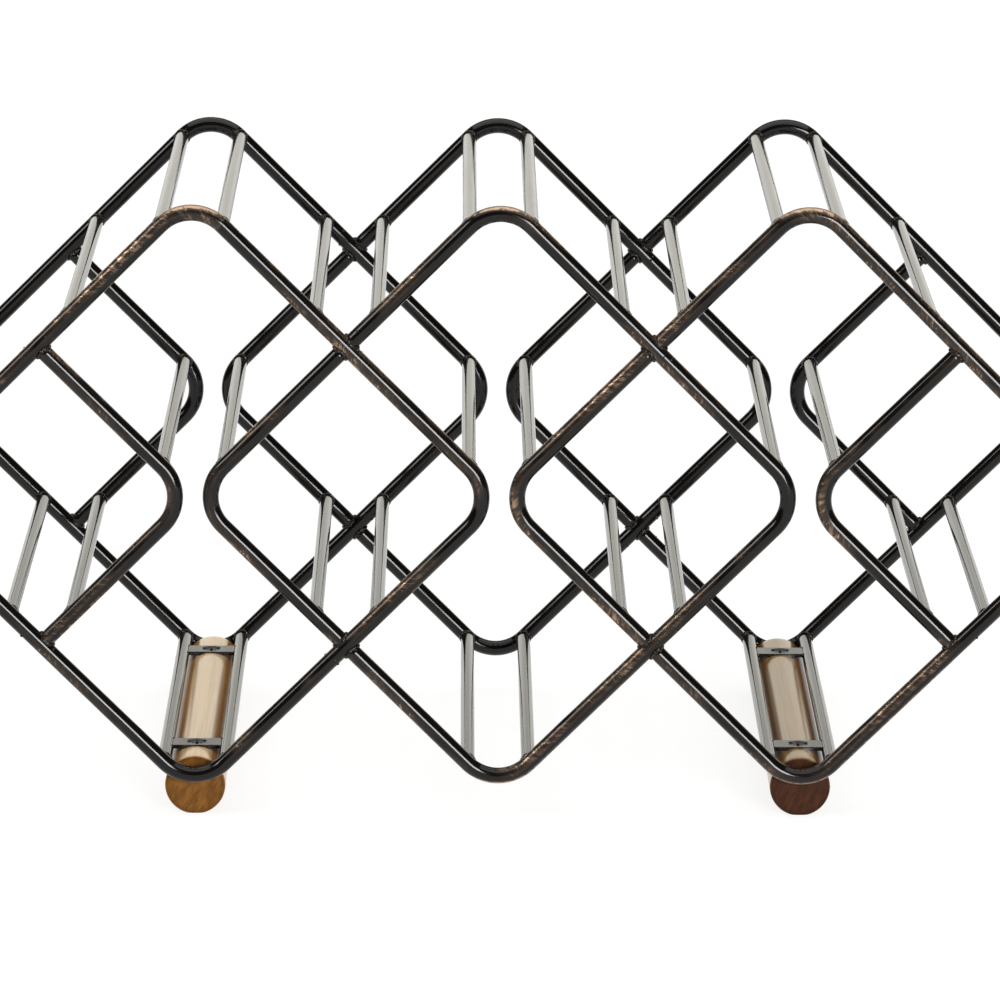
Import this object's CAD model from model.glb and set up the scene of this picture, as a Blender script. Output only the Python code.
import math

import bpy
import numpy as np
from bpy.props import FloatProperty, FloatVectorProperty, PointerProperty
from bpy.types import Operator, Panel, PropertyGroup
from mathutils import Matrix, Quaternion, Vector


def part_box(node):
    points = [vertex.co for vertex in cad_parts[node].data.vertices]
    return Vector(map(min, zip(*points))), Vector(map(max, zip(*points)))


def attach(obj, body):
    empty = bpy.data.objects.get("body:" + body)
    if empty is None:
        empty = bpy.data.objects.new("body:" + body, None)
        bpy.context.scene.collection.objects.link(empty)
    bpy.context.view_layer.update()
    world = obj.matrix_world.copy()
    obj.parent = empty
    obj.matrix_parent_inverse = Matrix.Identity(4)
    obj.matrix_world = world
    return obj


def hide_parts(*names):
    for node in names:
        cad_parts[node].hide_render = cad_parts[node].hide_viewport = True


bl_info = {
    "name": "Wine Rack",
    "version": (1, 0, 0),
    "blender": (4, 5, 0),
    "location": "3D View > Sidebar > Wine Rack",
    "description": "Finishes a welded wine rack: bronze bars, cross rods, welds and wooden feet",
    "category": "Add Mesh",
}

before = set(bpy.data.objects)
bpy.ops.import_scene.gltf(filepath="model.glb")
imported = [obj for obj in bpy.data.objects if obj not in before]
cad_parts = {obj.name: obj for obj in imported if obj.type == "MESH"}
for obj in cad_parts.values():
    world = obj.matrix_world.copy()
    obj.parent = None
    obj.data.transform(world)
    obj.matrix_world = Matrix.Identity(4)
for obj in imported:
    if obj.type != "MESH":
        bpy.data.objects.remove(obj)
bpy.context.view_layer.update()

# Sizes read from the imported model, in metres
RING_LOW, RING_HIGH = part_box("front_left_ring")
ROD_LOW, ROD_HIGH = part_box("top_rod_1")
STRAP_LOW, STRAP_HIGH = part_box("left_front_strap")
BAR_R = (RING_HIGH.y - RING_LOW.y) / 2
FACE_Y = -(RING_LOW.y + RING_HIGH.y) / 2
MID_Z = (RING_LOW.z + RING_HIGH.z) / 2
LOOP_PITCH = -(RING_LOW.x + RING_HIGH.x) / 2
APEX = (RING_HIGH.z - RING_LOW.z) / 2 - BAR_R
ROD_R = (ROD_HIGH.x - ROD_LOW.x) / 2
BUTT_GAP = FACE_Y - ROD_HIGH.y
STRAP_T = STRAP_HIGH.z - STRAP_LOW.z

# Sides of the round sections
BAR_SIDES = 40
ROD_SIDES = 32
DOWEL_SIDES = 120

# The two faces: name, and which way along Y is outwards
FACES = {"front": -1, "back": 1}
FEET = ("left", "right")
ROD_ROWS = {"top": 6, "upper": 6, "middle": 8, "lower": 8, "bottom": 6}
RODS = [f"{row}_rod_{i + 1}" for row, count in ROD_ROWS.items() for i in range(count)]

# Directions and corners in the lattice, which is square and turned by 45 degrees
UP_RIGHT = np.array([1.0, 0.0])
UP_LEFT = np.array([0.0, 1.0])
TOP = UP_RIGHT + UP_LEFT
RIGHT = UP_RIGHT - UP_LEFT
STEP = LOOP_PITCH / math.sqrt(2)


class RackSizes(PropertyGroup):
    """Sizes of the finish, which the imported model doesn't fix."""

    bend_radius: FloatProperty(
        name="Bend radius", description="Radius of every corner, to the middle of the bar",
        default=0.021, min=0.014, max=0.032, unit="LENGTH")
    weld_radius: FloatProperty(
        name="Weld bead", description="Radius of the bead where two bars are welded",
        default=0.0010, min=0.0005, max=0.003, unit="LENGTH")
    rod_weld_radius: FloatProperty(
        name="Rod weld bead", description="Radius of the bead round the end of a cross rod",
        default=0.0008, min=0.0004, max=0.002, unit="LENGTH")
    unevenness: FloatProperty(
        name="Unevenness", description="Depth of the slow dents and paint runs along a bar",
        default=0.00006, min=0.0, max=0.0003, unit="LENGTH")
    dowel_rounding: FloatProperty(
        name="Dowel rounding", description="Radius of the sanded edge round each end of a dowel",
        default=0.0008, min=0.0002, max=0.003, unit="LENGTH")


class RackColours(PropertyGroup):
    """Colours of the finishes, in linear light."""

    bronze: FloatVectorProperty(
        name="Bronze", description="Dark paint of the bars",
        default=(0.0034, 0.0027, 0.0023), min=0, max=1, subtype="COLOR")
    umber: FloatVectorProperty(
        name="Umber", description="Brown bronze where the paint is rubbed thin",
        default=(0.078, 0.056, 0.041), min=0, max=1, subtype="COLOR")
    copper: FloatVectorProperty(
        name="Copper", description="Rubbed highlights of the bars",
        default=(0.47, 0.32, 0.215), min=0, max=1, subtype="COLOR")
    screw: FloatVectorProperty(
        name="Screw", description="Blackened steel of the screws",
        default=(0.012, 0.012, 0.012), min=0, max=1, subtype="COLOR")
    honey: FloatVectorProperty(
        name="Honey wood", description="Light grain of the left dowel",
        default=(0.66, 0.46, 0.25), min=0, max=1, subtype="COLOR")
    honey_dark: FloatVectorProperty(
        name="Honey wood, dark grain", description="Dark grain of the left dowel",
        default=(0.50, 0.34, 0.17), min=0, max=1, subtype="COLOR")
    honey_end: FloatVectorProperty(
        name="Honey wood, end", description="Light grain of the left dowel's ends",
        default=(0.178, 0.075, 0.0125), min=0, max=1, subtype="COLOR")
    honey_end_dark: FloatVectorProperty(
        name="Honey wood, end, dark grain", description="Dark grain of the left dowel's ends",
        default=(0.100, 0.038, 0.006), min=0, max=1, subtype="COLOR")
    walnut: FloatVectorProperty(
        name="Walnut", description="Light grain of the right dowel",
        default=(0.30, 0.18, 0.055), min=0, max=1, subtype="COLOR")
    walnut_dark: FloatVectorProperty(
        name="Walnut, dark grain", description="Dark grain of the right dowel",
        default=(0.20, 0.11, 0.03), min=0, max=1, subtype="COLOR")
    walnut_end: FloatVectorProperty(
        name="Walnut, end", description="Light grain of the right dowel's ends",
        default=(0.052, 0.0155, 0.0045), min=0, max=1, subtype="COLOR")
    walnut_end_dark: FloatVectorProperty(
        name="Walnut, end, dark grain", description="Dark grain of the right dowel's ends",
        default=(0.024, 0.0070, 0.0022), min=0, max=1, subtype="COLOR")
    floor: FloatVectorProperty(
        name="Floor", description="Pale floor below the rack",
        default=(0.20, 0.20, 0.199), min=0, max=1, subtype="COLOR")


class RackView(PropertyGroup):
    """Where the camera stands."""

    target: FloatVectorProperty(
        name="Target", description="Point that the camera looks at",
        default=(0.0003, -FACE_Y, 0.1618), subtype="XYZ", unit="LENGTH")
    distance: FloatProperty(
        name="Distance", description="From the camera to the point it looks at",
        default=3.0064, min=0.5, unit="LENGTH")
    elevation: FloatProperty(
        name="Elevation", description="Angle by which the camera looks down",
        default=math.radians(13.52), subtype="ANGLE", unit="ROTATION")
    azimuth: FloatProperty(
        name="Azimuth", description="Angle by which the camera stands to the left of the middle",
        default=math.radians(0.407), subtype="ANGLE", unit="ROTATION")
    roll: FloatProperty(
        name="Roll", description="Tilt of the camera about its own axis",
        default=math.radians(0.319), subtype="ANGLE", unit="ROTATION")
    lens: FloatProperty(
        name="Lens", description="Focal length in millimetres on a 36 mm sensor",
        default=221.12, min=20, max=500)


# ---------------------------------------------------------------- shapes


def unit(v):
    """v divided by its length, along the last axis."""
    return v / np.linalg.norm(v, axis=-1, keepdims=True)


def whole_turn(count):
    """Angles of count even steps round a circle, from 0."""
    return np.linspace(0, 2 * math.pi, count, endpoint=False)


def ramp(value, start, full):
    """0 where value is at start, 1 where it is at full, in proportion between, and no further."""
    return np.clip((value - start) / (full - start), 0, 1)


def upright(v):
    """Turns directions of the lattice into directions of the world: up-right leans to +X and
    +Z, up-left to -X and +Z."""
    a, b = v[..., 0], v[..., 1]
    return np.stack([(a - b), np.zeros_like(a), (a + b)], -1) / math.sqrt(2)


def in_face(v, y):
    """Turns places of the lattice into places of the world, in the plane at y."""
    return upright(v) + np.array([0, y, MID_Z])


def half_side(sizes):
    """Half of a loop's side, so that its bends reach the same height as in the model."""
    return (APEX + sizes.bend_radius * (math.sqrt(2) - 1)) / math.sqrt(2)


def corner(k, way, half):
    """Corner of loop k, before it is bent, towards way."""
    return k * STEP * RIGHT + half * way


def upper_crossing(k, half):
    """Where the top right side of loop k crosses the top left side of the next loop."""
    return k * STEP * RIGHT + np.array([half, half - STEP])


def lower_crossing(k, half):
    """Where the bottom right side of loop k crosses the bottom left side of the next loop."""
    return k * STEP * RIGHT + np.array([STEP - half, -half])


def face_layout(half):
    """Corner points of the bars of a face, by name. Only the first bar closes on itself."""

    def outer_bow(k):
        return [upper_crossing(k - 1, half), corner(k, TOP, half), corner(k, RIGHT, half),
                corner(k, -TOP, half), lower_crossing(k - 1, half)]

    def left_bow(k):
        return [upper_crossing(k - 1, half), corner(k, -RIGHT, half), lower_crossing(k - 1, half)]

    return {
        "left_ring": [corner(-1, way, half) for way in (TOP, RIGHT, -TOP, -RIGHT)],
        "left_end_bow": [upper_crossing(-2, half), corner(-2, RIGHT, half),
                         lower_crossing(-2, half)],
        "middle_bow": outer_bow(0),
        "middle_inner_bow": left_bow(0),
        "right_bow": outer_bow(1),
        "right_inner_bow": left_bow(1),
        "right_end_bow": left_bow(2),
    }


def bent_path(corners, closed, bend_r, spacing=0.0025, bend_rows=28):
    """Middle line of a bar: straight legs through the corners, and a quarter circle at each.
    On a bend it is the circle's centre, less the next leg's way times the cosine, plus the
    last leg's way times the sine. Returns places and unit ways in the lattice."""
    count = len(corners)
    legs = count if closed else count - 1
    places, ways = [], []
    for i in range(legs):
        a, b = corners[i], corners[(i + 1) % count]
        way = unit(b - a)
        bent = closed or i < legs - 1
        start = a + way * (bend_r if closed or i else BUTT_GAP)
        end = b - way * (bend_r if bent else BUTT_GAP)
        steps = max(2, math.ceil(np.linalg.norm(end - start) / spacing))
        share = np.linspace(0, 1, steps + 1)[:steps if bent else None, None]
        places.append(start + share * (end - start))
        ways.append(np.tile(way, (len(share), 1)))
        if bent:
            next_way = unit(corners[(i + 2) % count] - b)
            turn = np.linspace(0, math.pi / 2, bend_rows + 1)[:-1, None]
            middle = end + bend_r * next_way
            places.append(middle + bend_r * (way * np.sin(turn) - next_way * np.cos(turn)))
            ways.append(way * np.cos(turn) + next_way * np.sin(turn))
    return np.concatenate(places), np.concatenate(ways)


def ripple(distance, turn, seed, pitch, around=3):
    """Smooth unevenness from -1 to 1 of a bar's skin: the mean of sine waves of distance and
    turn, whose pitches, phases and whole numbers of waves round the bar are drawn at random."""
    draw = np.random.default_rng(seed)
    waves = 7
    pitches = pitch * draw.uniform(0.6, 2.2, waves)
    lobes = draw.integers(-around, around + 1, waves)
    phases = draw.uniform(0, 2 * math.pi, waves)
    angle = (2 * math.pi * distance[..., None] / pitches + lobes * turn[..., None] + phases)
    return np.sin(angle).mean(-1)


def saddle(height):
    """How far the skin of a crossing bar stands in front of a butted end, at a height above
    the middle: the root of the radius squared less the height squared, less the gap."""
    return np.maximum(np.sqrt(np.maximum(BAR_R**2 - height**2, 0)), BUTT_GAP) - BUTT_GAP


def swept_bar(centre, way, side, out, radius, sides, closed=False, dent=0.0, seed=0):
    """Round bar along a path: centre plus radius times (side times cosine plus out times
    sine). Slow dents are taken off the radius. An open bar's ends are discs whose skin
    follows the saddle against the bar that they meet. Returns the grid of points, their
    places along, across and out of the bar, and the path's row of each."""
    distance = np.concatenate([[0], np.cumsum(np.linalg.norm(np.diff(centre, axis=0), axis=1))])
    row, share = np.arange(len(centre)), np.ones(len(centre))
    if not closed:
        # Circles of each end's disc, from its middle out
        disc = np.array([0, 0.5, 0.9])
        row = np.concatenate([0 * disc.astype(int), row, np.full(len(disc), len(centre) - 1)])
        share = np.concatenate([disc, share, disc[::-1]])
    turn = whole_turn(sides)[None, :]
    along, share = distance[row][:, None], share[:, None]
    lap = distance[-1] + np.linalg.norm(centre[0] - centre[-1])
    dent_pitch = 0.02
    wave = ripple(along + 0 * turn, turn + 0 * along, seed, lap / round(lap / dent_pitch))
    thick = radius - dent * (0.5 + 0.5 * wave)
    across, up = share * thick * np.cos(turn), share * thick * np.sin(turn)
    points = centre[row][:, None] + across[..., None] * side[row][:, None]
    points = points + up[..., None] * out[row][:, None]
    if not closed:
        fade = 3 * BUTT_GAP
        pull = ramp(along, fade, 0) - ramp(distance[-1] - along, fade, 0)
        points = points + (pull * saddle(up))[..., None] * way[row][:, None]
    place = np.stack([along + 0 * turn, across, up], -1)
    return points, place, row


def bead(curve, outwards, radius, seed, rows=12, flat_y=None):
    """Lumpy weld bead: a closed curve with a circle round each of its points, whose radius
    swells by up to 0.16 of itself with each drop of the weld, and varies by as much in two
    slow waves and by 0.10 in a finer one. Points past flat_y are pressed back to it."""
    count = len(curve)
    along = unit(np.roll(curve, -1, 0) - np.roll(curve, 1, 0))
    rise = unit(outwards - (outwards * along).sum(-1, keepdims=True) * along)
    side = np.cross(along, rise)
    step = whole_turn(count)[:, None]
    turn = whole_turn(rows)[None, :]
    draw = np.random.default_rng(seed)
    drops = draw.integers(9, 13)
    swell = 1 + 0.16 * np.abs(np.sin(drops * step / 2 + draw.uniform(0, 3)))
    swell = swell + 0.16 * np.sin(2 * step + draw.uniform(0, 6)) * np.sin(turn + draw.uniform(0, 6))
    swell = swell + 0.10 * np.sin(5 * step + 2 * turn + draw.uniform(0, 6))
    size = (radius[:, None] * swell)[..., None]
    points = curve[:, None] + size * (np.cos(turn)[..., None] * rise[:, None]
                                      + np.sin(turn)[..., None] * side[:, None])
    if flat_y is not None:
        points[..., 1] = np.clip(points[..., 1], -flat_y, flat_y)
    return points


def blob(centre, radius, seed, rows=9, columns=14):
    """Drop of weld spatter: a ball of latitude and longitude with two low waves on it."""
    draw = np.random.default_rng(seed)
    lat = np.linspace(0, math.pi, rows)[:, None]
    lon = whole_turn(columns)[None, :]
    lump = 1 + 0.12 * np.sin(lat) * np.sin(2 * lon + draw.uniform(0, 6))
    ball = np.stack([np.sin(lat) * np.cos(lon), np.sin(lat) * np.sin(lon),
                     np.cos(lat) + 0 * lon], -1)
    return centre + radius * lump[..., None] * ball


# ---------------------------------------------------------------- meshes


def grid_shell(grid, wrapped, marks):
    """Faces of a grid that closes across its columns, and either closes on itself along its
    rows or ends in a pole at its first and last row. Faces are turned to point outwards."""
    rows, columns = grid.shape[:2]
    if wrapped:
        index = np.arange(rows * columns).reshape(rows, columns)
        points = grid.reshape(-1, 3)
        index = np.vstack([index, index[:1]])
        marks = {name: m.reshape(-1, *m.shape[2:]) for name, m in marks.items()}
    else:
        inner = np.arange(1, (rows - 2) * columns + 1).reshape(rows - 2, columns)
        last = (rows - 2) * columns + 1
        index = np.vstack([np.zeros((1, columns), int), inner, np.full((1, columns), last)])
        points = np.vstack([grid[0, :1], grid[1:-1].reshape(-1, 3), grid[-1, :1]])
        marks = {name: np.concatenate([m[0, :1], m[1:-1].reshape(-1, *m.shape[2:]), m[-1, :1]])
                 for name, m in marks.items()}
    beside = np.roll(index, -1, axis=1)
    faces = np.stack([index[:-1], beside[:-1], beside[1:], index[1:]], -1)
    if wrapped:
        quads, triangles = faces.reshape(-1, 4), np.zeros((0, 3), int)
    else:
        quads = faces[1:-1].reshape(-1, 4)
        triangles = np.vstack([faces[0][:, [0, 2, 3]], faces[-1][:, [0, 1, 2]]])
    a, b, c = (points[quads[:, i]] for i in (0, 1, 2))
    d = points[quads[:, 3]]
    volume = (a * np.cross(b, c)).sum() + (a * np.cross(c, d)).sum()
    if volume < 0:
        quads, triangles = quads[:, ::-1], triangles[:, ::-1]
    return points, quads, triangles, marks


def joined(shells):
    """Several shells as one."""
    offsets = np.cumsum([0] + [len(s[0]) for s in shells[:-1]])
    return (
        np.vstack([s[0] for s in shells]),
        np.vstack([s[1] + o for s, o in zip(shells, offsets)]),
        np.vstack([s[2] + o for s, o in zip(shells, offsets)]),
        {name: np.concatenate([s[3][name] for s in shells]) for name in shells[0][3]},
    )


def make_piece(name, shell, material, nodes=(), sharp=None):
    """Puts a shell into a mesh with its marks as attributes, and sets the piece on the frame."""
    points, quads, triangles, marks = shell
    mesh = bpy.data.meshes.new(name)
    mesh.from_pydata(points.tolist(), [], quads.tolist() + triangles.tolist())
    mesh.polygons.foreach_set("use_smooth", np.ones(len(mesh.polygons), bool))
    for mark, values in marks.items():
        kind, key = ("FLOAT_VECTOR", "vector") if values.ndim == 2 else ("FLOAT", "value")
        attribute = mesh.attributes.new(mark, kind, "POINT")
        attribute.data.foreach_set(key, np.ascontiguousarray(values, np.float32).ravel())
    if sharp:
        mesh.set_sharp_from_angle(angle=math.radians(sharp))
    mesh.update()
    piece = bpy.data.objects.new(name, mesh)
    bpy.context.scene.collection.objects.link(piece)
    mesh.materials.append(material)
    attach(piece, "root")
    if nodes:
        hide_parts(*nodes)


# ---------------------------------------------------------------- materials


class Finish:
    """A material's node tree, filled in one node at a time."""

    def __init__(self, name):
        self.material = bpy.data.materials.new(name)
        self.material.use_nodes = True
        self.tree = self.material.node_tree
        self.shader = self.tree.nodes["Principled BSDF"]

    def put(self, socket, value):
        """Sets a socket to a number, a colour or another node's output."""
        if isinstance(value, bpy.types.NodeSocket):
            self.tree.links.new(value, socket)
        else:
            socket.default_value = value

    def node(self, kind, inputs=None, output=0, **settings):
        """Adds a node, sets its inputs and settings, and returns one of its outputs."""
        made = self.tree.nodes.new(kind)
        for key, value in settings.items():
            setattr(made, key, value)
        for key, value in (inputs or {}).items():
            self.put(made.inputs[key], value)
        return made.outputs[output]

    def mark(self, name, output="Vector"):
        """One of a piece's own attributes."""
        return self.node("ShaderNodeAttribute", output=output, attribute_name=name)

    def object_place(self):
        return self.node("ShaderNodeTexCoord", output="Object")

    def scaled(self, vector, scale, turn=(0, 0, 0)):
        """A vector scaled, and then turned."""
        return self.node("ShaderNodeMapping",
                         {"Vector": vector, "Rotation": turn, "Scale": scale})

    def noise(self, vector, detail=3.0, rough=0.5, bend=0.0, seed=0.0):
        """Cloudy noise from 0 to 1, as coarse as its vector is: seed picks another one."""
        return self.node("ShaderNodeTexNoise", {"Vector": vector, "Scale": 1.0, "Detail": detail,
                                                "Roughness": rough, "Distortion": bend, "W": seed},
                         noise_dimensions="4D")

    def level(self, value, low, high, to_low=0.0, to_high=1.0, smooth=True):
        """Turns low to high into to_low to to_high, and stops at both."""
        kind = "SMOOTHSTEP" if smooth else "LINEAR"
        return self.node("ShaderNodeMapRange",
                         {"Value": value, "From Min": low, "From Max": high,
                          "To Min": to_low, "To Max": to_high}, interpolation_type=kind)

    def math(self, kind, a, b=0.0):
        return self.node("ShaderNodeMath", {0: a, 1: b}, operation=kind)

    def blend(self, share, a, b):
        """Colour a where share is 0 and colour b where it is 1."""
        made = self.tree.nodes.new("ShaderNodeMix")
        made.data_type = "RGBA"
        self.put(made.inputs["Factor"], share)
        for socket, value in zip([s for s in made.inputs if s.type == "RGBA"], (a, b)):
            self.put(socket, value if isinstance(value, bpy.types.NodeSocket) else (*value, 1.0))
        return next(s for s in made.outputs if s.type == "RGBA")

    def bump(self, height, distance):
        """height runs from 0 to 1 and distance is its real height in metres."""
        return self.node("ShaderNodeBump", {"Height": height, "Distance": distance,
                                            "Strength": 1.0})

    def surface(self, **inputs):
        """Sets the shader's sockets. An underscore in a name stands for a space."""
        for key, value in inputs.items():
            self.put(self.shader.inputs[key.replace("_", " ")], value)
        return self.material


def bronze_paint(colours):
    """Near-black glossy paint, rubbed thin and brown in patches along a bar's worn side, and
    through to copper there in short slanting strokes and flecks. Where wear is above 1, as on
    the outside of a bend, the patches and strokes are closer."""
    f = Finish("bronze_paint")
    place = f.mark("bar_place")
    wear = f.mark("wear", "Fac")
    patch = f.noise(f.scaled(place, (19, 75, 75)), detail=3.0, rough=0.6, seed=1.7)
    slant = f.scaled(place, (1, 1, 1), (0, 0, 0.85))
    stroke = f.noise(f.scaled(slant, (130, 480, 300)), detail=3.0, rough=0.65, bend=0.4)
    fleck = f.noise(f.scaled(slant, (270, 640, 480)), detail=2.0, rough=0.6, seed=9.3)
    patch = f.math("ADD", patch, f.level(wear, 1.0, 2.0, 0.0, 0.28, smooth=False))
    stroke = f.math("ADD", stroke, f.level(wear, 1.0, 2.0, 0.0, 0.18, smooth=False))
    worn = f.math("MINIMUM", wear, 1.0)
    thin = f.math("MULTIPLY", f.level(patch, 0.45, 0.63), worn)
    bare = f.math("MULTIPLY", f.level(patch, 0.53, 0.68), worn)
    rub = f.math("MULTIPLY", bare, f.level(stroke, 0.48, 0.64))
    specks = f.math("MULTIPLY", f.level(fleck, 0.60, 0.68), f.level(thin, 0.2, 0.9, 0.0, 0.8))
    rubbed = f.math("MAXIMUM", f.math("MULTIPLY", rub, 0.85), specks)
    brown = f.math("MULTIPLY", thin, f.level(stroke, 0.30, 0.60, 0.55, 1.0))
    colour = f.blend(brown, colours.bronze, colours.umber)
    colour = f.blend(rubbed, colour, colours.copper)
    bright = f.math("MAXIMUM", f.math("MULTIPLY", brown, 0.85), rubbed)
    skin = f.noise(f.scaled(place, (240, 330, 330)), detail=2.0, seed=2.9)
    height = f.math("ADD", f.math("MULTIPLY", skin, 0.5), f.math("MULTIPLY", rubbed, 0.8))
    return f.surface(Base_Color=colour, Metallic=bright, Normal=f.bump(height, 0.000022),
                     Roughness=f.level(bright, 0, 1, 0.13, 0.34, smooth=False),
                     Specular_IOR_Level=0.27)


def weld_metal(colours):
    """The same paint on a lumpy bead, worn bright on its crests."""
    f = Finish("weld_paint")
    place = f.object_place()
    lumps = f.noise(f.scaled(place, (900, 900, 900)), detail=3.0, rough=0.6)
    worn = f.level(lumps, 0.56, 0.70)
    colour = f.blend(f.math("MULTIPLY", worn, 0.35), colours.bronze, colours.copper)
    return f.surface(Base_Color=colour, Metallic=f.math("MULTIPLY", worn, 0.5),
                     Roughness=f.level(worn, 0, 1, 0.16, 0.34), Specular_IOR_Level=0.25,
                     Normal=f.bump(lumps, 0.0003))


def plain_paint(name, colours, rough):
    """The same glossy paint where nothing rubs it, with runs along the rod and fine dust."""
    f = Finish(name)
    place = f.object_place()
    runs = f.noise(f.scaled(place, (260, 26, 260)), detail=3.0, rough=0.55)
    dust = f.noise(f.scaled(place, (2100, 2100, 2100)), detail=2.0, seed=3.0)
    colour = f.blend(f.level(runs, 0.42, 0.66, 0.0, 0.25), colours.bronze, colours.umber)
    height = f.math("ADD", runs, f.math("MULTIPLY", dust, 0.12))
    return f.surface(Base_Color=colour, Roughness=f.level(runs, 0.3, 0.7, rough, rough + 0.07),
                     Specular_IOR_Level=0.5, Normal=f.bump(height, 0.000012))


def screw_steel(colours):
    """Blackened steel screw, dull and blotched."""
    f = Finish("screw_steel")
    place = f.object_place()
    blotch = f.noise(f.scaled(place, (700, 700, 700)), detail=3.0, rough=0.6)
    dark = [0.4 * c for c in colours.screw]
    colour = f.blend(f.level(blotch, 0.4, 0.65), dark, colours.screw)
    return f.surface(Base_Color=colour, Roughness=f.level(blotch, 0.3, 0.7, 0.22, 0.34),
                     Specular_IOR_Level=0.5, Normal=f.bump(blotch, 0.00002))


def lacquered_wood(name, light, dark, end_light, end_dark, seed):
    """Lacquered wood with its grain along Y, pale along the top and of a redder stain down the
    sides. The lacquer has soaked into the ends, which are duller, streaked on a slant and
    darker towards the rim."""
    f = Finish(name)
    place = f.object_place()
    end, top = f.mark("end_grain", "Fac"), f.mark("crown", "Fac")
    fibre = f.noise(f.scaled(place, (900, 14, 900)), detail=4.0, rough=0.6, seed=seed)
    figure = f.noise(f.scaled(place, (150, 6, 150)), detail=3.0, bend=0.8, seed=seed + 2)
    pores = f.noise(f.scaled(place, (2600, 60, 2600)), detail=2.0, seed=seed + 5)
    grain = f.math("ADD", f.math("MULTIPLY", fibre, 0.4), f.math("MULTIPLY", figure, 0.6))
    colour = f.blend(f.level(grain, 0.38, 0.62), dark, light)
    colour = f.blend(f.level(pores, 0.60, 0.72, 0.0, 0.3), colour, dark)
    stain = [share * c for share, c in zip((0.58, 0.36, 0.10), light)]
    stained = f.blend(f.level(grain, 0.38, 0.62), [0.6 * c for c in stain], stain)
    colour = f.blend(top, stained, colour)
    slant = f.scaled(place, (1, 1, 1), (0, -0.42, 0))
    streaks = f.noise(f.scaled(slant, (1700, 1, 110)), detail=4.0, rough=0.65, seed=seed)
    clouds = f.noise(f.scaled(slant, (330, 1, 150)), detail=3.0, bend=0.5, seed=seed + 1)
    cut = f.math("ADD", f.math("MULTIPLY", streaks, 0.5), f.math("MULTIPLY", clouds, 0.5))
    cut_colour = f.blend(f.level(cut, 0.40, 0.62), end_dark, end_light)
    cut_colour = f.blend(f.mark("rim", "Fac"), cut_colour, [0.45 * c for c in end_dark])
    colour = f.blend(end, colour, cut_colour)
    height = f.math("ADD", fibre, f.math("MULTIPLY", pores, 0.5))
    coat = f.math("ADD", f.level(top, 0, 1, 0.3, 0.8), f.level(top, -1, 0, 0.7, 0.0))
    coat = f.math("MULTIPLY", coat, f.level(end, 0, 1, 1.0, 0.1))
    return f.surface(Base_Color=colour, Roughness=f.level(grain, 0.3, 0.7, 0.36, 0.48),
                     Specular_IOR_Level=0.1, Coat_Weight=coat,
                     Coat_Roughness=0.17, Normal=f.bump(height, 0.00003))


def plain_floor(colours):
    """Matt pale floor, bright by itself as a lit sheet of paper is, and more so far away."""
    f = Finish("plain_floor")
    place = f.object_place()
    tooth = f.noise(f.scaled(place, (3, 3, 3)), detail=2.0)
    colour = f.blend(f.level(tooth, 0.3, 0.7), colours.floor, [0.985 * c for c in colours.floor])
    reach = f.node("ShaderNodeVectorMath", {0: place}, output="Value", operation="LENGTH")
    return f.surface(Base_Color=colour, Roughness=0.9, Specular_IOR_Level=0.1,
                     Emission_Color=(1.0, 1.0, 0.995, 1.0),
                     Emission_Strength=f.level(reach, 1.0, 6.0, 0.84, 0.98))


# ---------------------------------------------------------------- operators


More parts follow.
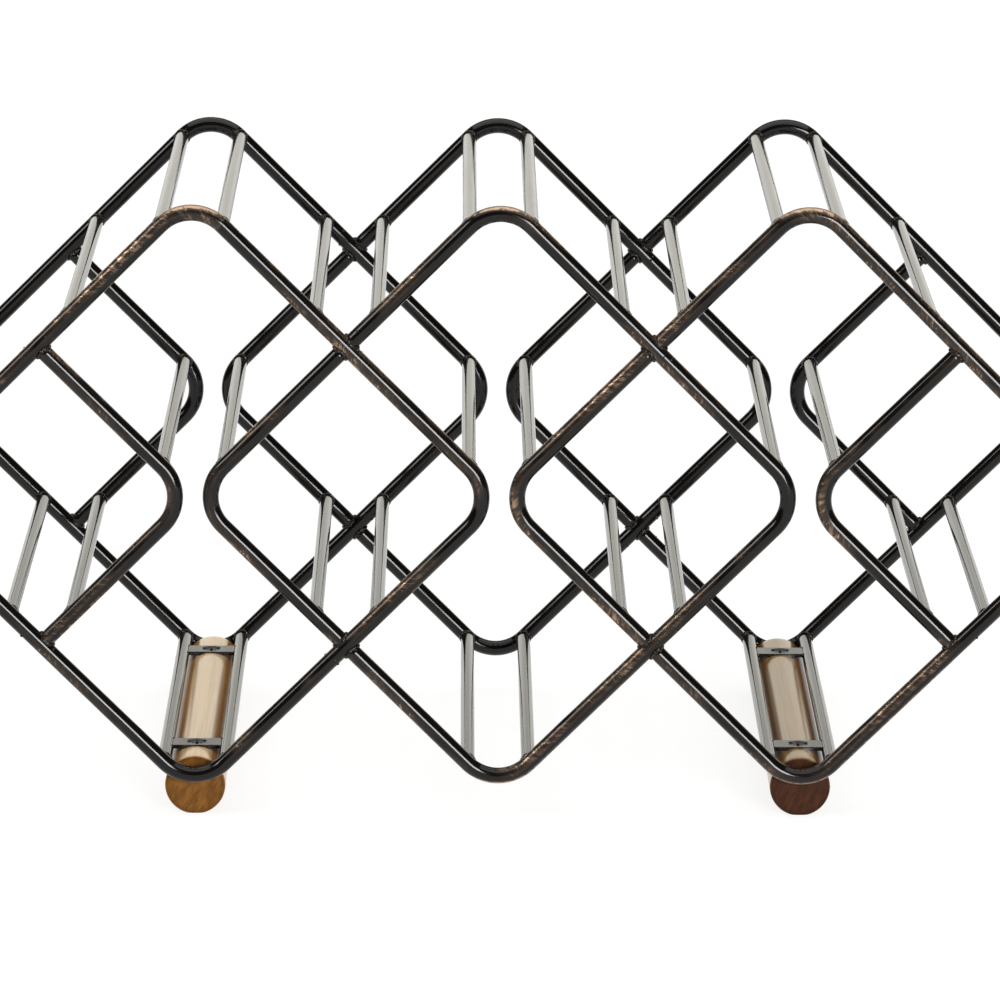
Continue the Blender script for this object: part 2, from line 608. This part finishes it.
class WINERACK_OT_stage(Operator):
    """Floor, soft lights, surroundings and camera"""

    bl_idname = "winerack.stage"
    bl_label = "Stage"

    def add_light(self, name, azimuth, elevation, distance, width, height, tilt, glow):
        """Soft light whose panel faces the middle of the rack. Azimuth 0 is in front of the
        rack and 90 to its right. The panel is turned by tilt from level, and glow is its
        brightness, which a power of pi times its area makes 1."""
        a, e = math.radians(azimuth), math.radians(elevation)
        way = Vector((math.sin(a) * math.cos(e), -math.cos(a) * math.cos(e), math.sin(e)))
        data = bpy.data.lights.new(name, "AREA")
        data.shape, data.size, data.size_y = "RECTANGLE", width, height
        data.energy = math.pi * width * height * glow
        light = bpy.data.objects.new(name, data)
        bpy.context.scene.collection.objects.link(light)
        light.location = Vector((0, 0, MID_Z)) + distance * way
        light.rotation_mode = "QUATERNION"
        turn = Quaternion((0, 0, 1), math.radians(tilt))
        light.rotation_quaternion = way.to_track_quat("Z", "Y") @ turn
        light.visible_camera = False

    def add_camera(self, view):
        """Camera that looks at the target from its distance, elevation and azimuth."""
        sin, cos = math.sin, math.cos
        forward = Vector((sin(view.azimuth) * cos(view.elevation),
                          cos(view.azimuth) * cos(view.elevation), -sin(view.elevation)))
        level = Vector((cos(view.azimuth), -sin(view.azimuth), 0))
        rise = level.cross(forward)
        right = cos(view.roll) * level + sin(view.roll) * rise
        up = cos(view.roll) * rise - sin(view.roll) * level
        data = bpy.data.cameras.new("camera")
        data.lens, data.sensor_width = view.lens, 36
        camera = bpy.data.objects.new("camera", data)
        bpy.context.scene.collection.objects.link(camera)
        turn = Matrix((right, up, -forward)).transposed().to_4x4()
        place = Vector(view.target) - view.distance * forward
        camera.matrix_world = Matrix.Translation(place) @ turn
        bpy.context.scene.camera = camera

    def add_surroundings(self):
        """A dim studio, with a paler band low behind the rack."""
        world = bpy.data.worlds.new("studio")
        world.use_nodes = True
        tree = world.node_tree
        new, link = tree.nodes.new, tree.links.new
        back = tree.nodes["Background"]
        ways = new("ShaderNodeTexCoord")
        parts = new("ShaderNodeSeparateXYZ")
        link(ways.outputs["Generated"], parts.inputs[0])
        both = new("ShaderNodeMath")
        both.operation = "MULTIPLY"
        # Of each ramp of the band: the way's part, where the ramp starts and ends, and its values
        ramps = (("Z", 0.20, 0.50, 1.0, 0.0), ("Y", 0.3, 0.8, 0.0, 1.0))
        for side, (axis, low, high, at_low, at_high) in enumerate(ramps):
            ramp = new("ShaderNodeMapRange")
            ramp.interpolation_type = "SMOOTHSTEP"
            ramp.inputs["From Min"].default_value = low
            ramp.inputs["From Max"].default_value = high
            ramp.inputs["To Min"].default_value = at_low
            ramp.inputs["To Max"].default_value = at_high
            link(parts.outputs[axis], ramp.inputs["Value"])
            link(ramp.outputs[0], both.inputs[side])
        shade = new("ShaderNodeMapRange")
        shade.inputs["To Min"].default_value = 0.02
        shade.inputs["To Max"].default_value = 1.4
        link(both.outputs[0], shade.inputs["Value"])
        link(shade.outputs[0], back.inputs["Strength"])
        back.inputs["Color"].default_value = (1.0, 0.985, 0.90, 1.0)
        bpy.context.scene.world = world

    def execute(self, context):
        mesh = bpy.data.meshes.new("floor")
        reach = 30.0
        mesh.from_pydata([(-reach, -reach, 0), (reach, -reach, 0), (reach, reach, 0),
                          (-reach, reach, 0)], [], [(0, 1, 2, 3)])
        floor = bpy.data.objects.new("floor", mesh)
        context.scene.collection.objects.link(floor)
        mesh.materials.append(plain_floor(context.scene.wine_rack_colours))
        self.add_surroundings()
        self.add_light("overhead_light", azimuth=0, elevation=90, distance=4.5,
                       width=7.0, height=7.0, tilt=0, glow=1.9)
        self.add_light("right_light", azimuth=24, elevation=9, distance=3.0,
                       width=1.0, height=1.1, tilt=38, glow=27)
        self.add_light("left_light", azimuth=-67, elevation=33, distance=3.0,
                       width=1.2, height=0.6, tilt=12, glow=9)
        self.add_camera(context.scene.wine_rack_view)
        context.scene.view_settings.view_transform = "Standard"
        return {"FINISHED"}


class WINERACK_OT_face_bars(Operator):
    """The seven bent bars of each face"""

    bl_idname = "winerack.face_bars"
    bl_label = "Face bars"

    def wear(self, points, centre, outwards):
        """How much hands and cloths have rubbed the paint: up to 1 where the skin faces left,
        and up to 2 where it faces up or down on the outside of a bend, times how far it faces
        out of the rack."""
        faces = (points - centre) / BAR_R
        left = ramp(faces[..., 0], 0.20, -0.45)
        away = np.sign(centre[..., 2] - MID_Z) * faces[..., 2]
        bend = 2 * ramp(away, 0.42, 0.82)
        return np.maximum(left, bend) * ramp(outwards * faces[..., 1], -0.32, 0.08)

    def execute(self, context):
        sizes = context.scene.wine_rack_sizes
        paint = bronze_paint(context.scene.wine_rack_colours)
        layout = face_layout(half_side(sizes))
        for face, outwards in FACES.items():
            for i, (name, corners) in enumerate(layout.items()):
                closed = name == "left_ring"
                places, ways = bent_path(corners, closed, sizes.bend_radius)
                centre = in_face(places, outwards * FACE_Y)
                left = np.stack([-ways[:, 1], ways[:, 0]], -1)
                out = np.tile([0.0, outwards, 0.0], (len(centre), 1))
                seed = 10 * i + (outwards > 0)
                points, place, row = swept_bar(
                    centre, upright(ways), upright(left), out, BAR_R, BAR_SIDES, closed,
                    sizes.unevenness, seed)
                middle = points - place[..., 1:2] * upright(left)[row][:, None]
                wear = self.wear(points, middle - place[..., 2:3] * out[0], outwards)
                # Metres along the paint's pattern from one bar's stretch of it to the next one's
                stretch = 0.9
                place[..., 0] += stretch * seed
                shell = grid_shell(points, closed, {"bar_place": place, "wear": wear})
                node = f"{face}_{name}"
                make_piece(f"{node}_bar", shell, paint, [node])
        return {"FINISHED"}


def rod_site(node, half):
    """Where a rod stands, and the lattice direction of the bar that it is welded to: the one
    whose line, of all the loops' sides, passes through the rod."""
    low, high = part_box(node)
    x, z = (low.x + high.x) / 2, (low.z + high.z) / 2 - MID_Z
    a, b = (x + z) / math.sqrt(2), (z - x) / math.sqrt(2)
    lines = np.array([k * STEP + s * half for k in range(-2, 3) for s in (-1, 1)])
    leg = UP_LEFT if np.abs(lines - a).min() < np.abs(lines - b).min() else UP_RIGHT
    return x, z + MID_Z, leg


class WINERACK_OT_cross_rods(Operator):
    """The straight rods that join the two faces"""

    bl_idname = "winerack.cross_rods"
    bl_label = "Cross rods"

    def execute(self, context):
        sizes = context.scene.wine_rack_sizes
        paint = plain_paint("rod_paint", context.scene.wine_rack_colours, rough=0.10)
        half = half_side(sizes)
        rows = 60
        for seed, node in enumerate(RODS):
            x, z, leg = rod_site(node, half)
            y = np.linspace(-1, 1, rows) * (FACE_Y - BUTT_GAP)
            centre = np.stack([np.full(rows, x), y, np.full(rows, z)], -1)
            way = np.tile([0.0, 1.0, 0.0], (rows, 1))
            side = np.tile(upright(leg), (rows, 1))
            points = swept_bar(centre, way, side, np.cross(way, side), ROD_R, ROD_SIDES, False,
                               sizes.unevenness / 3, 100 + seed)[0]
            shell = grid_shell(points, False, {})
            make_piece(f"{node}_painted", shell, paint, [node])
        return {"FINISHED"}


class WINERACK_OT_welds(Operator):
    """The weld beads at the crossings, at the ends of the rods and by the straps"""

    bl_idname = "winerack.welds"
    bl_label = "Welds"

    def crossing_bead(self, place, leg, y, radius, seed):
        """Bead round a butted end, along the curve where the end meets the other bar: across
        times the cosine, outwards times the sine, and along the leg the root of the sum of
        the squares of the radius times the cosine and the gap times the sine."""
        turn = whole_turn(96)
        across = np.array([-leg[1], leg[0]])
        size = radius * (0.75 + 0.25 * np.abs(np.cos(turn)))
        reach = np.sqrt((BAR_R * np.cos(turn)) ** 2 + (BUTT_GAP * np.sin(turn)) ** 2)
        flat = reach[:, None] * leg
        flat = flat + (BAR_R * np.cos(turn))[:, None] * across
        curve = in_face(place + flat, y) + ((BAR_R - size) * np.sin(turn))[:, None] * [0, 1, 0]
        outwards = upright(np.cos(turn)[:, None] * across) + np.sin(turn)[:, None] * [0, 1, 0]
        return bead(curve, outwards, size, seed, flat_y=FACE_Y + BAR_R)

    def spatter(self, place, butted, y, seed, count=4):
        """Drops on the skins of the two bars that cross, 1 to 8 mm beyond the crossing."""
        draw = np.random.default_rng(seed)
        drops = []
        for i in range(count):
            through = np.array([-butted[1], butted[0]])
            leg = (butted, through, -through)[draw.integers(3)]
            across = np.array([-leg[1], leg[0]])
            turn = draw.uniform(0.15, 0.85) * math.pi * draw.choice([-1, 1])
            reach = BAR_R + draw.uniform(0.0012, 0.008)
            centre = in_face(place + reach * leg + BAR_R * math.cos(turn) * across, y)
            centre = centre + 0.93 * BAR_R * math.sin(turn) * np.array([0, 1, 0])
            drop = blob(centre, draw.uniform(0.0004, 0.0008), seed + 7 * i)
            drop[..., 1] = np.clip(drop[..., 1], -(FACE_Y + BAR_R), FACE_Y + BAR_R)
            drops.append(drop)
        return drops

    def rod_bead(self, node, y, half, radius, seed):
        """Bead round a rod's end, along the curve where it meets the bar: leg times the
        cosine, across times the sine, and the height of the bar's skin towards the rod."""
        x, z, leg = rod_site(node, half)
        turn = whole_turn(60)
        side, across = upright(leg), upright(np.array([-leg[1], leg[0]]))
        skin = np.sqrt(BAR_R**2 - (0.98 * ROD_R * np.sin(turn)) ** 2)
        spread = np.cos(turn)[:, None] * side + np.sin(turn)[:, None] * across
        depth = y - np.sign(y) * skin
        curve = np.array([x, 0, z]) + ROD_R * spread + depth[:, None] * [0, 1, 0]
        size = radius * (1 + 0.25 * np.cos(2 * turn))
        return bead(curve, spread, size, seed, rows=10)

    def strap_bead(self, node, side, end, seed):
        """Short bead in the corner between a strap's edge and a rod."""
        low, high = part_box(node)
        radius, sunk = 0.0011, 0.0002
        x = (low.x + high.x) / 2 + side * ((high.x - low.x) / 2 - sunk)
        y = low.y if end < 0 else high.y
        return blob(np.array([x, y, high.z - 0.4 * STRAP_T]), radius, seed)

    def execute(self, context):
        sizes = context.scene.wine_rack_sizes
        weld = weld_metal(context.scene.wine_rack_colours)
        half = half_side(sizes)
        layout = face_layout(half)
        for face, outwards in FACES.items():
            y = outwards * FACE_Y
            shells, seed = [], 500 + 200 * (outwards > 0)
            for name, corners in layout.items():
                if name == "left_ring":
                    continue
                for place, after in ((corners[0], corners[1]), (corners[-1], corners[-2])):
                    seed += 1
                    way = unit(after - place)
                    grid = self.crossing_bead(place, way, y, sizes.weld_radius, seed)
                    shells.append(grid_shell(grid, True, {}))
                    shells += [grid_shell(g, False, {}) for g in self.spatter(place, way, y, seed)]
            make_piece(f"{face}_crossing_welds", joined(shells), weld)
            shells = [grid_shell(self.rod_bead(rod, y, half, sizes.rod_weld_radius, seed + 50 + i),
                                 True, {}) for i, rod in enumerate(RODS)]
            make_piece(f"{face}_rod_welds", joined(shells), weld)
        straps = [f"{foot}_{face}_strap" for foot in FEET for face in FACES]
        for i, node in enumerate(straps):
            shells = [grid_shell(self.strap_bead(node, side, end, 900 + 4 * i + side + 2 * end),
                                 False, {}) for side in (-1, 1) for end in (-1, 1)]
            make_piece(f"{node}_welds", joined(shells), weld)
        return {"FINISHED"}


class WINERACK_OT_dowels(Operator):
    """The two wooden dowels that the rack stands on"""

    bl_idname = "winerack.dowels"
    bl_label = "Dowels"

    def dowel(self, node, rounding):
        """Round bar along Y. Its outline goes from the middle of one end out to the rim, round
        a quarter circle and along the side, taken off a little by slow dents. What would reach
        below the floor is planed flat, and so is what would reach above the underside of a
        strap that is let into it, between two rows of points close to each edge of the strap."""
        low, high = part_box(node)
        radius = (high.x - low.x) / 2
        middle = np.array([(low.x + high.x) / 2, 0, high.z - radius])
        straps = [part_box(node.replace("dowel", f"{face}_strap")) for face in FACES]
        edges = [edge for strap in straps for edge in (strap[0].y, strap[1].y)]
        rows, side_rows, close = 8, 60, 0.00001
        arc = np.linspace(0, math.pi / 2, rows)
        disc = np.linspace(0, 1, rows + 1)[:-1] * (radius - rounding)
        out = np.concatenate([disc, radius - rounding + rounding * np.sin(arc)])
        back = np.concatenate([0 * disc, rounding - rounding * np.cos(arc)])
        end = np.concatenate([np.ones(rows), 1 - np.linspace(0, 1, rows)])
        side = np.linspace(rounding, high.y - low.y - rounding, side_rows)[1:-1]
        walls = np.array([edge - low.y + step for edge in edges for step in (-close, close)])
        side = np.sort(np.concatenate([side, walls]))
        reach = np.concatenate([out, np.full(len(side), radius), out[::-1]])
        y = low.y + np.concatenate([back, side, high.y - low.y - back[::-1]])
        end = np.concatenate([end, 0 * side, end[::-1]])
        turn = whole_turn(DOWEL_SIDES)[None, :]
        dent, dent_pitch = 0.004, 0.06
        wave = ripple(y[:, None] + 0 * turn, turn + 0 * y[:, None], 77, dent_pitch, around=2)
        spread = reach[:, None] * (1 - dent * (0.5 + 0.5 * wave))
        under = [(y > strap[0].y) & (y < strap[1].y) for strap in straps]
        roof = np.where(under[0] | under[1], straps[0][0].z, high.z)[:, None]
        height = np.clip(middle[2] + spread * np.sin(turn), low.z, roof)
        grid = np.stack([middle[0] + spread * np.cos(turn), y[:, None] + 0 * turn, height], -1)
        rim = end * ramp(reach / radius, 0.82, 1) ** 2
        # The crown's mark is 1 along the top, 0 beside it and -1 down the sides
        crown = ramp(np.sin(turn), 0.82, 0.91) - ramp(np.sin(turn), 0.60, 0.55)
        crown = (1 - end[:, None]) * crown
        return grid_shell(grid, False, {"end_grain": end[:, None] + 0 * turn, "crown": crown,
                                        "rim": rim[:, None] + 0 * turn})

    def execute(self, context):
        sizes, colours = context.scene.wine_rack_sizes, context.scene.wine_rack_colours
        for foot, wood, seed in (("left", "honey", 3.0), ("right", "walnut", 8.0)):
            grains = [getattr(colours, wood + which) for which in ("", "_dark", "_end", "_end_dark")]
            material = lacquered_wood(f"{wood}_wood", *grains, seed)
            node = f"{foot}_dowel"
            shell = self.dowel(node, sizes.dowel_rounding)
            make_piece(f"{node}_turned", shell, material, [node], sharp=40)
        return {"FINISHED"}


class WINERACK_OT_straps(Operator):
    """The four straps that hold the dowels"""

    bl_idname = "winerack.straps"
    bl_label = "Straps"

    def strap(self, node):
        """Plate with a countersunk hole: rings of points that go from the hole's rim out over
        the top, down the edge, back under the plate and up the cone. A ring is a rectangle
        times one share plus a circle times the other. The ends are hollowed to fit the rods."""
        low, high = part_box(node)
        middle = np.array([(low.x + high.x) / 2, (low.y + high.y) / 2, high.z])
        half_y = (high.y - low.y) / 2
        rod_low, rod_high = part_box("bottom_rod_2" if middle[0] < 0 else "bottom_rod_6")
        rod_x = abs((rod_low.x + rod_high.x) / 2 - middle[0])
        rod_z = (rod_low.z + rod_high.z) / 2 - high.z
        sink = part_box(node.replace("strap", "screw"))
        sink_r = (sink[1].x - sink[0].x) / 2 + (high.z - sink[1].z)
        edge, lip, count = 0.0003, 0.0002, 24
        share = np.linspace(-1, 1, count, endpoint=False)
        one = np.ones(count)
        box_x = np.concatenate([share, one, -share, -one])
        box_y = np.concatenate([-one, share, one, -share])
        angle = np.arctan2(box_y * half_y, box_x * rod_x)
        # Each ring: depth below the top, share of the rectangle, inset, radius of the circle
        rings = [(0.0, 0.0, 0.0, sink_r + lip), (0.0, 0.5, edge, sink_r),
                 (0.0, 1.0, edge, 0), (0.3 * edge, 1.0, 0.3 * edge, 0), (edge, 1.0, 0.0, 0),
                 (STRAP_T - edge, 1.0, 0.0, 0), (STRAP_T - 0.3 * edge, 1.0, 0.3 * edge, 0),
                 (STRAP_T, 1.0, edge, 0), (STRAP_T, 0.5, edge, sink_r - STRAP_T),
                 (STRAP_T, 0.0, 0.0, sink_r - STRAP_T),
                 (0.5 * STRAP_T, 0.0, 0.0, sink_r - 0.5 * STRAP_T),
                 (lip, 0.0, 0.0, sink_r - lip)]
        grid = []
        for depth, rect, inset, circle in rings:
            end_x = rod_x - math.sqrt(max(ROD_R**2 - (rod_z + depth) ** 2, 0)) - inset
            x = rect * box_x * end_x + (1 - rect) * circle * np.cos(angle)
            y = rect * box_y * (half_y - inset) + (1 - rect) * circle * np.sin(angle)
            grid.append(middle + np.stack([x, y, np.full(len(x), -depth)], -1))
        return grid_shell(np.array(grid), True, {})

    def execute(self, context):
        paint = plain_paint("strap_paint", context.scene.wine_rack_colours, rough=0.18)
        for foot in FEET:
            for face in FACES:
                node = f"{foot}_{face}_strap"
                make_piece(f"{node}_plate", self.strap(node), paint, [node], sharp=20)
        return {"FINISHED"}


class WINERACK_OT_screws(Operator):
    """Finish of the four screws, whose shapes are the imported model's"""

    bl_idname = "winerack.screws"
    bl_label = "Screws"

    def execute(self, context):
        steel = screw_steel(context.scene.wine_rack_colours)
        for foot in FEET:
            for face in FACES:
                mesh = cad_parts[f"{foot}_{face}_screw"].data
                mesh.materials.clear()
                mesh.materials.append(steel)
        return {"FINISHED"}


OPERATORS = (WINERACK_OT_stage, WINERACK_OT_face_bars, WINERACK_OT_cross_rods,
             WINERACK_OT_welds, WINERACK_OT_dowels, WINERACK_OT_straps, WINERACK_OT_screws)


class WINERACK_PT_panel(Panel):
    """Lists the rack's pieces, sizes and colours"""

    bl_idname = "WINERACK_PT_panel"
    bl_label = "Wine Rack"
    bl_space_type = "VIEW_3D"
    bl_region_type = "UI"
    bl_category = "Wine Rack"

    def draw(self, context):
        scene = context.scene
        for operator in OPERATORS:
            self.layout.operator(operator.bl_idname)
        for group in (scene.wine_rack_sizes, scene.wine_rack_colours, scene.wine_rack_view):
            box = self.layout.box()
            for name in group.__annotations__:
                box.prop(group, name)


GROUPS = {"wine_rack_sizes": RackSizes, "wine_rack_colours": RackColours,
          "wine_rack_view": RackView}


def register():
    for group in GROUPS.values():
        bpy.utils.register_class(group)
    for name, group in GROUPS.items():
        setattr(bpy.types.Scene, name, PointerProperty(type=group))
    for operator in OPERATORS:
        bpy.utils.register_class(operator)
    bpy.utils.register_class(WINERACK_PT_panel)


def unregister():
    bpy.utils.unregister_class(WINERACK_PT_panel)
    for operator in reversed(OPERATORS):
        bpy.utils.unregister_class(operator)
    for name in GROUPS:
        delattr(bpy.types.Scene, name)
    for group in reversed(list(GROUPS.values())):
        bpy.utils.unregister_class(group)


def main():
    register()
    bpy.ops.winerack.stage()
    bpy.ops.winerack.face_bars()
    bpy.ops.winerack.cross_rods()
    bpy.ops.winerack.welds()
    bpy.ops.winerack.dowels()
    bpy.ops.winerack.straps()
    bpy.ops.winerack.screws()


if __name__ == "__main__":
    main()
